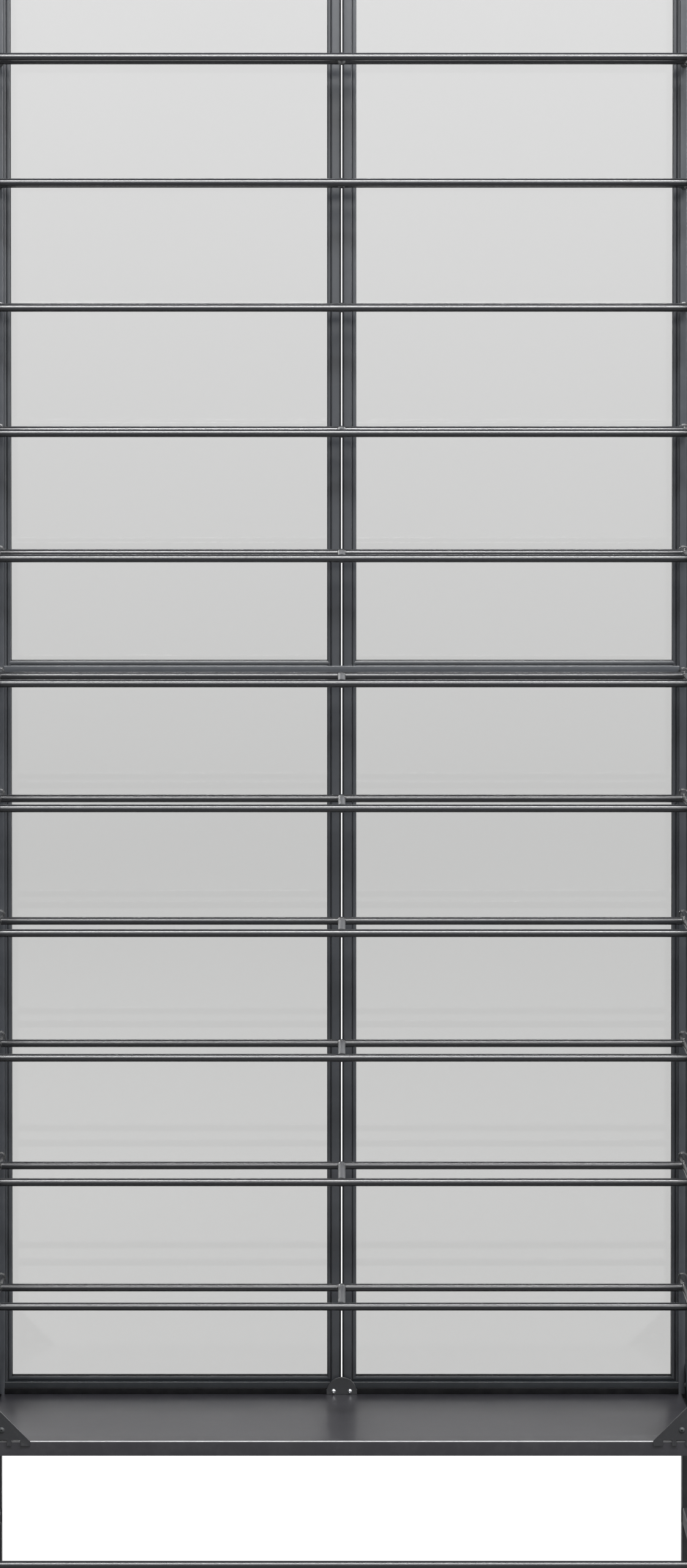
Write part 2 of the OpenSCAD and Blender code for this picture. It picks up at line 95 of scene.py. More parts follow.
def group(name, inputs, outputs):
    """A node group with float or colour sockets, and its input and output nodes."""
    tree = bpy.data.node_groups.new(name, "ShaderNodeTree")
    for label, kind, value in inputs:
        socket = tree.interface.new_socket(label, in_out="INPUT", socket_type=kind)
        socket.default_value = value
    for label, kind in outputs:
        tree.interface.new_socket(label, in_out="OUTPUT", socket_type=kind)
    return tree, tree.nodes.new("NodeGroupInput"), tree.nodes.new("NodeGroupOutput")


def add(tree, kind, **settings):
    """A node of a kind, with its properties or its sockets' values set by name."""
    node = tree.nodes.new(kind)
    for key, value in settings.items():
        if hasattr(node, key):
            setattr(node, key, value)
        else:
            node.inputs[key.replace("_", " ")].default_value = value
    return node


def math_node(tree, operation, a, b=None, clamp=False):
    """One arithmetic step; a and b are sockets or numbers."""
    node = tree.nodes.new("ShaderNodeMath")
    node.operation = operation
    node.use_clamp = clamp
    for socket, value in zip(node.inputs, (a, b)):
        if value is None:
            continue
        if isinstance(value, (int, float)):
            socket.default_value = value
        else:
            tree.links.new(value, socket)
    return node.outputs[0]


def remap(tree, value, a, b, c=0.0, d=1.0):
    """value from the span a..b onto c..d, held at the ends."""
    node = tree.nodes.new("ShaderNodeMapRange")
    tree.links.new(value, node.inputs["Value"])
    for label, number in zip(("From Min", "From Max", "To Min", "To Max"), (a, b, c, d)):
        if isinstance(number, (int, float)):
            node.inputs[label].default_value = number
        else:
            tree.links.new(number, node.inputs[label])
    return node.outputs["Result"]


FACTOR_IN, COLOUR_A_IN, COLOUR_B_IN, COLOUR_OUT = 0, 6, 7, 2


def mix_colour(tree, factor, a, b):
    """Colour a where factor is 0 and colour b where it is 1; each is a socket or a fixed colour."""
    node = tree.nodes.new("ShaderNodeMix")
    node.data_type = "RGBA"
    tree.links.new(factor, node.inputs[FACTOR_IN])
    for index, value in ((COLOUR_A_IN, a), (COLOUR_B_IN, b)):
        if isinstance(value, tuple):
            node.inputs[index].default_value = (*value, 1.0)
        else:
            tree.links.new(value, node.inputs[index])
    return node.outputs[COLOUR_OUT]


def noise(tree, vector, scale, detail=3.0, rough=0.5):
    """Cloudy noise between 0 and 1; scale counts its waves in a metre."""
    node = add(tree, "ShaderNodeTexNoise", Scale=scale, Detail=detail, Roughness=rough)
    tree.links.new(vector, node.inputs["Vector"])
    return node.outputs["Fac"]


FLECK_GREY = (0.42, 0.42, 0.41)
DUST_GREY = (0.36, 0.35, 0.33)
# The pale grey of the painted highlight along the tray's front fold.
FOLD_HIGHLIGHT_GREY = (0.52, 0.52, 0.53)


def make_powder_coat():
    """Sprayed and baked powder: orange peel, cloudy colour, pale flecks, dust on upward faces."""
    tree, inp, out = group(
        "powder_coat",
        [("Colour", "NodeSocketColor", (0.05, 0.05, 0.05, 1)),
         ("Cloud", "NodeSocketFloat", 0.15), ("Fleck", "NodeSocketFloat", 0.2),
         ("Dust", "NodeSocketFloat", 0.15), ("Gloss", "NodeSocketFloat", 0.3)],
        [("Colour", "NodeSocketColor"), ("Roughness", "NodeSocketFloat"),
         ("Height", "NodeSocketFloat")])
    place = tree.nodes.new("ShaderNodeTexCoord").outputs["Object"]
    cloud = noise(tree, place, 7.0, 4.0, 0.6)
    peel = noise(tree, place, 520.0, 2.0, 0.45)
    grain = noise(tree, place, 1900.0, 1.0, 0.5)
    specks = add(tree, "ShaderNodeTexVoronoi", Scale=420.0)
    tree.links.new(place, specks.inputs["Vector"])
    fleck = remap(tree, specks.outputs["Distance"], 0.16, 0.06)
    few = remap(tree, noise(tree, place, 160.0, 1.0), 0.56, 0.66)
    fleck = math_node(tree, "MULTIPLY", math_node(tree, "MULTIPLY", fleck, few),
                      inp.outputs["Fleck"])
    swing = math_node(tree, "MULTIPLY", math_node(tree, "SUBTRACT", cloud, 0.5),
                      inp.outputs["Cloud"])
    shade = math_node(tree, "ADD", math_node(tree, "MULTIPLY", swing, 2.0), 1.0)
    toned = tree.nodes.new("ShaderNodeVectorMath")
    toned.operation = "SCALE"
    tree.links.new(inp.outputs["Colour"], toned.inputs[0])
    tree.links.new(shade, toned.inputs["Scale"])
    colour = mix_colour(tree, fleck, toned.outputs[0], FLECK_GREY)
    normal = tree.nodes.new("ShaderNodeSeparateXYZ")
    tree.links.new(tree.nodes.new("ShaderNodeNewGeometry").outputs["Normal"], normal.inputs[0])
    up = remap(tree, normal.outputs["Z"], 0.35, 0.95)
    film = remap(tree, noise(tree, place, 38.0, 5.0, 0.65), 0.35, 0.75)
    dust = math_node(tree, "MULTIPLY", math_node(tree, "MULTIPLY", up, film), inp.outputs["Dust"])
    colour = mix_colour(tree, dust, colour, DUST_GREY)
    rough = math_node(tree, "ADD", inp.outputs["Gloss"], math_node(tree, "MULTIPLY", swing, 0.5))
    rough = math_node(tree, "ADD", rough, math_node(tree, "MULTIPLY", dust, 0.35), clamp=True)
    height = math_node(tree, "ADD", peel, math_node(tree, "MULTIPLY", grain, 0.25))
    for label, socket in (("Colour", colour), ("Roughness", rough), ("Height", height)):
        tree.links.new(socket, out.inputs[label])
    return tree


def make_edge_wear():
    """A mask that is 1 where a rounded edge has been rubbed, broken up by a patchy noise."""
    tree, inp, out = group("edge_wear", [("Amount", "NodeSocketFloat", 0.5)],
                           [("Mask", "NodeSocketFloat")])
    place = tree.nodes.new("ShaderNodeTexCoord").outputs["Object"]
    edge = remap(tree, tree.nodes.new("ShaderNodeNewGeometry").outputs["Pointiness"], 0.53, 0.62)
    patch = remap(tree, noise(tree, place, 60.0, 5.0, 0.7), 0.45, 0.7)
    mask = math_node(tree, "MULTIPLY", math_node(tree, "MULTIPLY", edge, patch),
                     inp.outputs["Amount"], clamp=True)
    tree.links.new(mask, out.inputs["Mask"])
    return tree


def make_painted_fold_highlight():
    """Painted highlight: a mask for the crown of a fold along the front, 1 where the surface faces
    half upwards and half forwards, where the bend would catch the light, a little broken up along
    its length."""
    tree, inp, out = group("painted_fold_highlight", [("Amount", "NodeSocketFloat", 1.0)],
                           [("Mask", "NodeSocketFloat")])
    place = tree.nodes.new("ShaderNodeTexCoord").outputs["Object"]
    normal = tree.nodes.new("ShaderNodeSeparateXYZ")
    tree.links.new(tree.nodes.new("ShaderNodeNewGeometry").outputs["Normal"], normal.inputs[0])
    up = remap(tree, normal.outputs["Z"], 0.5, 0.62)
    ahead = remap(tree, normal.outputs["Y"], -0.48, -0.6)
    patch = remap(tree, noise(tree, place, 14.0, 4.0, 0.6), 0.25, 0.55, 0.75, 1.0)
    mask = math_node(tree, "MULTIPLY", math_node(tree, "MULTIPLY", up, ahead), patch)
    tree.links.new(math_node(tree, "MULTIPLY", mask, inp.outputs["Amount"], clamp=True),
                   out.inputs["Mask"])
    return tree


POWDER_COAT = make_powder_coat()
EDGE_WEAR = make_edge_wear()
PAINTED_FOLD_HIGHLIGHT = make_painted_fold_highlight()


def shader(name):
    """A new material, its tree and its Principled shader."""
    stuff = bpy.data.materials.new(name)
    stuff.use_nodes = True
    tree = stuff.node_tree
    return stuff, tree, tree.nodes["Principled BSDF"]


def use(tree, shared, **values):
    """A shared node group placed in a material, with its inputs set by name."""
    node = tree.nodes.new("ShaderNodeGroup")
    node.node_tree = shared
    for label, value in values.items():
        node.inputs[label].default_value = value
    return node


def bump(tree, surface, height, distance):
    """Tilts the shading by a height pattern; distance is its depth in metres."""
    node = add(tree, "ShaderNodeBump", Strength=1.0, Distance=distance)
    tree.links.new(height, node.inputs["Height"])
    tree.links.new(node.outputs[0], surface.inputs["Normal"])


def coated(name, colour, gloss, cloud, fleck, dust, worn, peel, coat=0.25, fold=0.0, shine=0.55):
    """Painted metal: powder coat over steel that shows a little at rubbed edges, with a painted
    highlight along the front fold where one is asked for.

    gloss is the roughness, cloud its unevenness, fleck and dust how much lies in and on the paint,
    worn how bare the edges are, fold the strength of a painted highlight along the front fold, coat
    the clear layer's weight, shine the mirror part's strength, and peel the orange peel's depth in
    metres.
    """
    stuff, tree, surface = shader(name)
    paint = use(tree, POWDER_COAT, Colour=(*colour, 1), Cloud=cloud, Fleck=fleck, Dust=dust,
                Gloss=gloss)
    wear = use(tree, EDGE_WEAR, Amount=worn)
    rubbed = tuple(0.5 * c + 0.16 for c in colour)
    tone = mix_colour(tree, wear.outputs["Mask"], paint.outputs["Colour"], rubbed)
    # Painted highlight: a pale grey mixed into the colour along the front fold's crown, where the
    # bend would shine.
    if fold:
        crown = use(tree, PAINTED_FOLD_HIGHLIGHT, Amount=fold)
        tone = mix_colour(tree, crown.outputs["Mask"], tone, FOLD_HIGHLIGHT_GREY)
    tree.links.new(tone, surface.inputs["Base Color"])
    tree.links.new(paint.outputs["Roughness"], surface.inputs["Roughness"])
    bump(tree, surface, paint.outputs["Height"], peel)
    surface.inputs["Coat Weight"].default_value = coat
    surface.inputs["Coat Roughness"].default_value = 0.12
    surface.inputs["Specular IOR Level"].default_value = shine
    return stuff


def zinc_plate():
    """Bright zinc: a mottled grey metal with faint spangle and a thin dull film."""
    stuff, tree, surface = shader("zinc_plate")
    place = tree.nodes.new("ShaderNodeTexCoord").outputs["Object"]
    spangle = add(tree, "ShaderNodeTexVoronoi", Scale=700.0)
    tree.links.new(place, spangle.inputs["Vector"])
    mottle = noise(tree, place, 240.0, 4.0, 0.6)
    tone = math_node(tree, "ADD", math_node(tree, "MULTIPLY", spangle.outputs["Distance"], 0.25),
                     mottle)
    shade = remap(tree, tone, 0.4, 0.95)
    tree.links.new(mix_colour(tree, shade, (0.42, 0.43, 0.44), (0.74, 0.75, 0.76)),
                   surface.inputs["Base Color"])
    tree.links.new(remap(tree, mottle, 0.3, 0.7, 0.24, 0.42), surface.inputs["Roughness"])
    bump(tree, surface, mottle, 0.00003)
    surface.inputs["Metallic"].default_value = 1.0
    return stuff


def black_plastic():
    """Moulded plastic with a fine spark-eroded grain."""
    stuff, tree, surface = shader("black_plastic")
    place = tree.nodes.new("ShaderNodeTexCoord").outputs["Object"]
    grain = noise(tree, place, 1400.0, 3.0, 0.6)
    haze = noise(tree, place, 30.0, 4.0, 0.6)
    shade = remap(tree, haze, 0.35, 0.75)
    tree.links.new(mix_colour(tree, shade, (0.012, 0.012, 0.013), (0.032, 0.032, 0.033)),
                   surface.inputs["Base Color"])
    tree.links.new(remap(tree, grain, 0.3, 0.7, 0.42, 0.6), surface.inputs["Roughness"])
    bump(tree, surface, grain, 0.00005)
    return stuff


def seal_rubber():
    """Soft black glazing seal, dusty and slightly mottled."""
    stuff, tree, surface = shader("seal_rubber")
    place = tree.nodes.new("ShaderNodeTexCoord").outputs["Object"]
    bloom = noise(tree, place, 90.0, 5.0, 0.65)
    grain = noise(tree, place, 1100.0, 2.0, 0.5)
    shade = remap(tree, bloom, 0.35, 0.8)
    tree.links.new(mix_colour(tree, shade, (0.002, 0.002, 0.0025), (0.006, 0.006, 0.0065)),
                   surface.inputs["Base Color"])
    tree.links.new(remap(tree, bloom, 0.3, 0.8, 0.45, 0.7), surface.inputs["Roughness"])
    bump(tree, surface, grain, 0.00001)
    surface.inputs["Specular IOR Level"].default_value = 0.1
    return stuff


# Heights in metres between which the glass is painted darker downwards, as painted shade.
GLASS_LOW, GLASS_MID, GLASS_TOP = 0.35, 0.9, 2.0


def pane_glass():
    """Float glass with a grey tint and painted shade, darker towards the bottom in two steps,
    and faint wipe marks.
    """
    stuff, tree, surface = shader("pane_glass")
    place = tree.nodes.new("ShaderNodeTexCoord").outputs["Object"]
    height = tree.nodes.new("ShaderNodeSeparateXYZ")
    tree.links.new(place, height.inputs[0])
    # Painted shade: the glass colour fades darker from the top down to the bottom.
    low_fade = remap(tree, height.outputs["Z"], GLASS_LOW, GLASS_MID)
    high_fade = remap(tree, height.outputs["Z"], GLASS_MID, GLASS_TOP)
    low_shaded_glass = mix_colour(tree, low_fade, (0.53, 0.53, 0.525), (0.56, 0.56, 0.555))
    shaded_glass = mix_colour(tree, high_fade, low_shaded_glass, (0.76, 0.76, 0.76))
    haze = remap(tree, noise(tree, place, 3.0, 4.0, 0.55), 0.3, 0.8, 0.0, 0.06)
    tree.links.new(mix_colour(tree, haze, shaded_glass, (0.6, 0.61, 0.61)), surface.inputs["Base Color"])
    wiped = noise(tree, place, 18.0, 6.0, 0.7)
    tree.links.new(remap(tree, wiped, 0.35, 0.75, 0.03, 0.08), surface.inputs["Roughness"])
    surface.inputs["Transmission Weight"].default_value = 1.0
    surface.inputs["IOR"].default_value = 1.45
    surface.inputs["Metallic"].default_value = 0.0
    return stuff


def seen_directly(tree):
    """1 for rays that reach the eye straight or through glass, 0 for those that light things."""
    rays = tree.nodes.new("ShaderNodeLightPath")
    return math_node(tree, "MAXIMUM", rays.outputs["Is Camera Ray"],
                     rays.outputs["Is Transmission Ray"])


def pale_floor():
    """A matt floor, near white where it is seen and a soft grey where it lights the object."""
    stuff, tree, surface = shader("pale_floor")
    place = tree.nodes.new("ShaderNodeTexCoord").outputs["Object"]
    cloud = noise(tree, place, 1.2, 3.0)
    seen = seen_directly(tree)
    pale = mix_colour(tree, cloud, (0.13, 0.13, 0.13), (0.15, 0.15, 0.15))
    tree.links.new(mix_colour(tree, seen, pale, (0.05, 0.05, 0.05)), surface.inputs["Base Color"])
    tree.links.new(remap(tree, cloud, 0.3, 0.7, 0.75, 0.85), surface.inputs["Roughness"])
    surface.inputs["Emission Color"].default_value = (1, 1, 1, 1)
    tree.links.new(math_node(tree, "MULTIPLY", seen, 0.975), surface.inputs["Emission Strength"])
    return stuff


FINISH = {
    "bar_paint": coated("bar_coat", (0.009, 0.0095, 0.011), 0.25, cloud=0.05, fleck=0.01,
                        dust=0.0, worn=0.0, coat=0.1, peel=0.000001),
    "frame_paint": coated("frame_coat", (0.008, 0.0085, 0.0100), 0.38, cloud=0.12, fleck=0.03,
                          dust=0.01, worn=0.08, peel=0.00001),
    "strip_paint": coated("strip_coat", (0.024, 0.0265, 0.031), 0.36, cloud=0.1, fleck=0.02,
                          dust=0.01, worn=0.06, peel=0.00001),
    "leaf_paint": coated("leaf_coat", (0.020, 0.022, 0.0255), 0.36, cloud=0.1, fleck=0.02,
                         dust=0.01, worn=0.06, coat=0.15, peel=0.000008),
    # The tray's paint carries a painted highlight along its front fold.
    "tray_paint": coated("tray_coat", (0.0122, 0.0119, 0.0148), 0.36, cloud=0.05, fleck=0.02,
                         dust=0.0, worn=0.05, coat=0.15, peel=0.000005, fold=0.5),
    "zinc": zinc_plate(),
    "black_plastic": black_plastic(),
    "glass": pane_glass(),
    "bolt_paint": coated("bolt_coat", (0.020, 0.022, 0.023), 0.55, cloud=0.2, fleck=0.08,
                         dust=0.02, worn=0.1, coat=0.0, peel=0.00001, shine=0.35),
    # Painted shade: a darker copy of the leaf paint for the leaves' bottom rails, which sit low in
    # the shade.
    "shaded_low_rail_paint": coated("shaded_low_rail_coat", (0.0085, 0.0110, 0.0140), 0.42, cloud=0.1,
                             fleck=0.02, dust=0.0, worn=0.06, coat=0.0, peel=0.000006, shine=0.42),
    # Painted shade: a much darker copy of the strip paint for the sill strip, in the shade under
    # the leaves.
    "shaded_sill_paint": coated("shaded_sill_coat", (0.0055, 0.0070, 0.0090), 0.45, cloud=0.1, fleck=0.01,
                         dust=0.0, worn=0.03, coat=0.0, peel=0.000006, shine=0.4),
    "matt_paint": coated("matt_coat", (0.0070, 0.0085, 0.0100), 0.75, cloud=0.1, fleck=0.02,
                         dust=0.0, worn=0.04, coat=0.0, peel=0.00001, shine=0.1),
    # Painted light: a paler grey for the centre ties than for the bars, standing in for their tops
    # lit from above.
    "tie_paint": coated("lit_tie_coat", (0.048, 0.050, 0.054), 0.5, cloud=0.15, fleck=0.03, dust=0.02,
                        worn=0.05, coat=0.0, peel=0.00001),
    "weld": coated("weld_coat", (0.011, 0.0115, 0.012), 0.30, cloud=0.3, fleck=0.06, dust=0.0,
                   worn=0.2, peel=0.00003),
    "seal": seal_rubber(),
}
SLOT_OF = {part["node"]: part["material_slot"] for part in frame["record"]["subparts"]}

# The centre ties take the paler paint as painted light on their tops; the rear gussets a matt
# paint.
OWN_FINISH = {"centre_ties": "tie_paint", "rear_gussets": "matt_paint"}

for node, obj in frame["nodes"].items():
    stuff = FINISH[OWN_FINISH.get(node, SLOT_OF[node])]
    for place in obj.material_slots:
        place.material = stuff


# ---------------------------------------------------------------- surfaces

def quads(rows, cols, closed=True):
    """Corner numbers of the faces of a rows x cols grid.

    Face (i, j) joins points (i, j), (i, j+1), (i+1, j+1) and (i+1, j); closed counts j round cols.
    """
    r = np.arange(rows - 1)[:, None]
    c = np.arange(cols if closed else cols - 1)[None, :]
    d = (c + 1) % cols
    return np.stack([r * cols + c, r * cols + d, (r + 1) * cols + d, (r + 1) * cols + c],
                    axis=-1).reshape(-1, 4)


MERGE_DISTANCE = 2e-7
TINY_EDGE = 1e-7
CREASE = math.radians(35)


class Shape:
    """Points and faces gathered from several surfaces into one piece."""

    def __init__(self):
        self.points, self.faces, self.count = [], [], 0

    def grid(self, points, closed=True, caps=(False, False)):
        """points[row, column] as a skin; caps closes the first and last rows with a flat face."""
        rows, cols = points.shape[:2]
        self.points.append(points.reshape(-1, 3))
        self.faces += (quads(rows, cols, closed) + self.count).tolist()
        if caps[0]:
            self.faces.append((np.arange(cols)[::-1] + self.count).tolist())
        if caps[1]:
            self.faces.append((np.arange(cols) + (rows - 1) * cols + self.count).tolist())
        self.count += rows * cols
        return self

    def piece(self, name, body, finish, stands_for=(), slot=None):
        """The gathered surfaces as a finished object on a body."""
        mesh = bpy.data.meshes.new(name)
        mesh.from_pydata(np.concatenate(self.points).tolist(), [], self.faces)
        work = bmesh.new()
        work.from_mesh(mesh)
        bmesh.ops.remove_doubles(work, verts=work.verts, dist=MERGE_DISTANCE)
        bmesh.ops.dissolve_degenerate(work, dist=TINY_EDGE, edges=work.edges)
        bmesh.ops.recalc_face_normals(work, faces=work.faces)
        work.to_mesh(mesh)
        work.free()
        mesh.shade_smooth()
        mesh.set_sharp_from_angle(angle=CREASE)
        mesh.materials.append(FINISH[finish])
        obj = bpy.data.objects.new(name, mesh)
        bpy.context.scene.collection.objects.link(obj)
        if stands_for:
            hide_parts(*stands_for)
        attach(obj, body)
        return obj


def rounded(corners, radii, steps=5):
    """A polygon with each corner replaced by an arc of its radius, as points in order.

    The arc touches both sides at r / tan(half the corner's angle) from the corner, and its points
    turn evenly between those two: (sin((1-t)s) p + sin(ts) q) / sin(s) for a sweep s.
    """
    corners = np.array(corners, float)
    radii = np.broadcast_to(np.array(radii, float), len(corners))
    out = []
    befores, afters = np.roll(corners, 1, 0), np.roll(corners, -1, 0)
    for corner, before, after, r in zip(corners, befores, afters, radii):
        if r <= 0:
            out.append(corner[None])
            continue
        a = (before - corner) / np.linalg.norm(before - corner)
        b = (after - corner) / np.linalg.norm(after - corner)
        half = math.acos(np.clip(a @ b, -1, 1)) / 2
        reach = r / math.tan(half)
        centre = corner + (a + b) / np.linalg.norm(a + b) * r / math.sin(half)
        p, q = corner + a * reach - centre, corner + b * reach - centre
        sweep = math.acos(np.clip(p @ q / r ** 2, -1, 1))
        t = np.linspace(0, 1, steps + 1)[:, None]
        out.append(centre + (np.sin((1 - t) * sweep) * p + np.sin(t * sweep) * q) / math.sin(sweep))
    return np.concatenate(out)


def box_outline(a, b, r, steps=5):
    """A rounded rectangle between two opposite corners."""
    return rounded([(a[0], a[1]), (b[0], a[1]), (b[0], b[1]), (a[0], b[1])], r, steps)


def lifted(outline, u, v, origin=(0, 0, 0)):
    """Flat points placed in space: origin + first coordinate along u + second along v."""
    return np.array(origin) + outline[:, :1] * u + outline[:, 1:] * v


def run(section, along, start, end):
    """A section carried along a direction: section + ((1-t) start + t end) along, t 0 and 1.

    start and end are distances, one for all points or one for each, for mitred ends.
    """
    t = np.array([0.0, 1.0])[:, None, None]
    start = np.broadcast_to(np.asarray(start, float), len(section))[:, None]
    end = np.broadcast_to(np.asarray(end, float), len(section))[:, None]
    return section[None] + ((1 - t) * start + t * end) * along


def revolve(profile, centre, axis, segments):
    """Rows of radius, height and flag turned round an axis.

    A point lies at centre + height axis + radius (cos a u + sin a v), with u and v square to the
    axis. Where the flag is 1 the radius is scaled by hexagon(a), so that the row is a hexagon.
    """
    axis = np.asarray(axis, float)
    u = np.cross(axis, X if abs(axis @ X) < 0.9 else Y)
    u /= np.linalg.norm(u)
    v = np.cross(axis, u)
    angle = np.linspace(0, 2 * np.pi, segments, endpoint=False)
    ring = np.cos(angle)[:, None] * u + np.sin(angle)[:, None] * v
    profile = np.array(profile, float)
    radius = profile[:, :1] * np.where(profile[:, 2:3] > 0, hexagon(angle), 1.0)
    return np.asarray(centre) + radius[..., None] * ring + profile[:, 1][:, None, None] * axis


def hexagon(angle):
    """Radius of a hexagon whose flats are at distance 1: 1 / cos(angle from the nearest flat)."""
    return 1 / np.cos((angle + np.pi / 6) % (np.pi / 3) - np.pi / 6)


# ---------------------------------------------------------------- posts and rails

CORNER_R = 2.2 * MM
WALL = 1.5 * MM
PLUG_SOFT = 1.4 * MM
PLUG_LAP = 1 * MM
STEM_CORNER_R = 0.7 * MM
SHOULDER_RINGS = 5
SHOULDER_CORNER = 0.6


def square_tube(a, b, axis):
    """A rolled square tube along one axis: outer skin, inner skin and the rims between.

    Both skins are rounded rectangles; the inner one is WALL inside, its corners CORNER_R - WALL.
    """
    u, v = [k for k in range(3) if k != axis]
    axes = np.eye(3)
    outer = lifted(box_outline((a[u], a[v]), (b[u], b[v]), CORNER_R), axes[u], axes[v])
    inner = lifted(box_outline((a[u] + WALL, a[v] + WALL), (b[u] - WALL, b[v] - WALL),
                               CORNER_R - WALL), axes[u], axes[v])
    start, end = a[axis] * axes[axis], b[axis] * axes[axis]
    return np.stack([outer + start, outer + end, inner + end, inner + start, outer + start])


TUBES = {"front_post_left": 2, "front_post_right": 2, "top_rail_front": 0, "top_rail_rear": 0,
         "tray_rail_rear": 0, "top_rail_left": 1, "top_rail_right": 1, "tray_rail_left": 1,
         "tray_rail_right": 1}
for node, axis in TUBES.items():
    Shape().grid(square_tube(lo(node), hi(node), axis)).piece(
        f"{node}_tube", "guard", "frame_paint", [node])

POST_IN, POST_OUT = lo("rear_post_right")[0], hi("rear_post_right")[0]
base_low, base_high = lo("base_rails"), hi("base_rails")
base = Shape()
for side in (LEFT, RIGHT):
    ends = sorted((side * POST_IN, side * POST_OUT))
    base.grid(square_tube(np.array([ends[0], *base_low[1:]]),
                          np.array([ends[1], *base_high[1:]]), 1))
base.piece("base_rail_tubes", "guard", "frame_paint", ["base_rails"])


def cushion(a, b, z0, z1, soft):
    """A plug's plate between two corners: straight sides, then a rounded shoulder towards z1.

    The shoulder is a quarter circle of radius soft: its rings are moved in by soft (1 - cos t)
    and end soft (1 - sin t) short of z1, for t from 0 to a quarter turn.
    """
    way = np.sign(z1 - z0)
    steps = [(0, z0)] + [(soft * (1 - math.cos(t)), z1 - way * soft * (1 - math.sin(t)))
                         for t in np.linspace(0, np.pi / 2, SHOULDER_RINGS)]
    rings = []
    for inset, z in steps:
        outline = box_outline((a[0] + inset, a[1] + inset), (b[0] - inset, b[1] - inset),
                              CORNER_R - inset * SHOULDER_CORNER)
        rings.append(lifted(outline, X, Y, (0, 0, z)))
    return np.stack(rings)


POST_TOP, POST_FOOT = hi("front_post_right")[2], lo("front_post_right")[2]
for node, inner_z, outer_z, stem_z in (
        ("post_caps", POST_TOP, hi("post_caps")[2], lo("post_caps")[2]),
        ("post_feet", POST_FOOT, lo("post_feet")[2], hi("post_feet")[2])):
    plugs = Shape()
    for post in ("front_post_left", "front_post_right", "rear_post_left", "rear_post_right"):
        a, b = lo(post), hi(post)
        plugs.grid(cushion(a, b, inner_z, outer_z, PLUG_SOFT), caps=(True, True))
        stem = lifted(box_outline((a[0] + WALL, a[1] + WALL), (b[0] - WALL, b[1] - WALL),
                                  STEM_CORNER_R), X, Y)
        low, high = sorted((inner_z + np.sign(outer_z - inner_z) * PLUG_LAP, stem_z))
        plugs.grid(run(stem, Z, low, high), caps=(True, True))
    plugs.piece(f"{node}_soft", "guard", "black_plastic", [node])


# ---------------------------------------------------------------- welds

RIPPLE = 0.12
RIPPLE_STEP, SWELL_STEP = 2.1, 0.73


def bead(path, radius, around=8):
    """A weld bead: a thin tube along a closed path, its section a circle square to the path.

    At point n the radius is scaled by 1 + r sin(2.1 n) + r/2 sin(0.73 n), r being the ripple.
    """
    ahead = np.roll(path, -1, 0) - np.roll(path, 1, 0)
    ahead /= np.linalg.norm(ahead, axis=1)[:, None]
    middle = path - path.mean(0)
    side = np.cross(ahead, middle)
    side /= np.linalg.norm(side, axis=1)[:, None]
    out = np.cross(side, ahead)
    turn = np.linspace(0, 2 * np.pi, around, endpoint=False)
    step = np.arange(len(path))
    size = radius * (1 + RIPPLE * np.sin(step * RIPPLE_STEP)
                     + 0.5 * RIPPLE * np.sin(step * SWELL_STEP))
    ring = (np.cos(turn)[None, :, None] * side[:, None]
            + np.sin(turn)[None, :, None] * out[:, None])
    skin = path[:, None] + size[:, None, None] * ring
    return np.concatenate([skin, skin[:1]])


def saddle(centre, along, across, branch_r, main_r, count=36):
    """Where a round branch meets a round main bar: a circle of the branch, each point pushed
    along the branch's axis by sqrt(main_r^2 - height^2), the height being above both axes."""
    t = np.linspace(0, 2 * np.pi, count, endpoint=False)[:, None]
    rise = branch_r * np.sin(t)
    reach = np.sqrt(np.maximum(main_r ** 2 - rise ** 2, 0))
    return centre + branch_r * np.cos(t) * across + rise * Z + reach * along


BAR_R = (hi("front_bar_01") - lo("front_bar_01"))[2] / 2
SIDE_TIE_R = (hi("side_ties_right") - lo("side_ties_right"))[0] / 2
CENTRE_TIE_R = (hi("centre_ties") - lo("centre_ties"))[0] / 2
SIDE_TIE_X = mid("side_ties_right")[0]
INNER_Y = mid("inner_bars")[1]
TIE_FRONT, TIE_BACK = lo("side_ties_right")[1], hi("side_ties_right")[1]
ROWS = [mid(node)[2] for node in sorted(frame["nodes"]) if node.startswith("front_bar_")]
WELD_R = 1.15 * MM
SMALL_WELD = 0.8
RAIL_WELD_R = 1.1 * MM
RAIL_WELD_STEP = 2.4 * MM
RAIL_WELD_SIDES = 7


def ring_round(centre, radius, u, v, count):
    """Points of a circle: centre + radius (cos t u + sin t v), t evenly round."""
    t = np.linspace(0, 2 * np.pi, count, endpoint=False)[:, None]
    return centre + radius * (np.cos(t) * u + np.sin(t) * v)


welds = Shape()
for row in ROWS:
    for side in (LEFT, RIGHT):
        for y in (BAR_PLANE_Y, INNER_Y):
            at = np.array([side * SIDE_TIE_X, y, row])
            welds.grid(bead(saddle(at, -side * X, Y, BAR_R, SIDE_TIE_R), WELD_R))
        for y in (TIE_FRONT, TIE_BACK):
            at = np.array([side * SIDE_TIE_X, y, row])
            welds.grid(bead(ring_round(at, SIDE_TIE_R, X, Z, 30), WELD_R))
    for y, way in ((BAR_PLANE_Y, Y), (INNER_Y, -Y)):
        path = saddle(np.array([0, y, row]), way, X, CENTRE_TIE_R, BAR_R)
        welds.grid(bead(path, WELD_R * SMALL_WELD))
welds.piece("row_welds", "guard", "weld", slot="bar_paint")


def spaced(outline, step):
    """The same closed outline with points at an even spacing near step along its length."""
    loop = np.concatenate([outline, outline[:1]])
    length = np.concatenate([[0], np.cumsum(np.linalg.norm(np.diff(loop, axis=0), axis=1))])
    at = np.linspace(0, length[-1], round(length[-1] / step), endpoint=False)
    return np.stack([np.interp(at, length, loop[:, k]) for k in range(loop.shape[1])], 1)


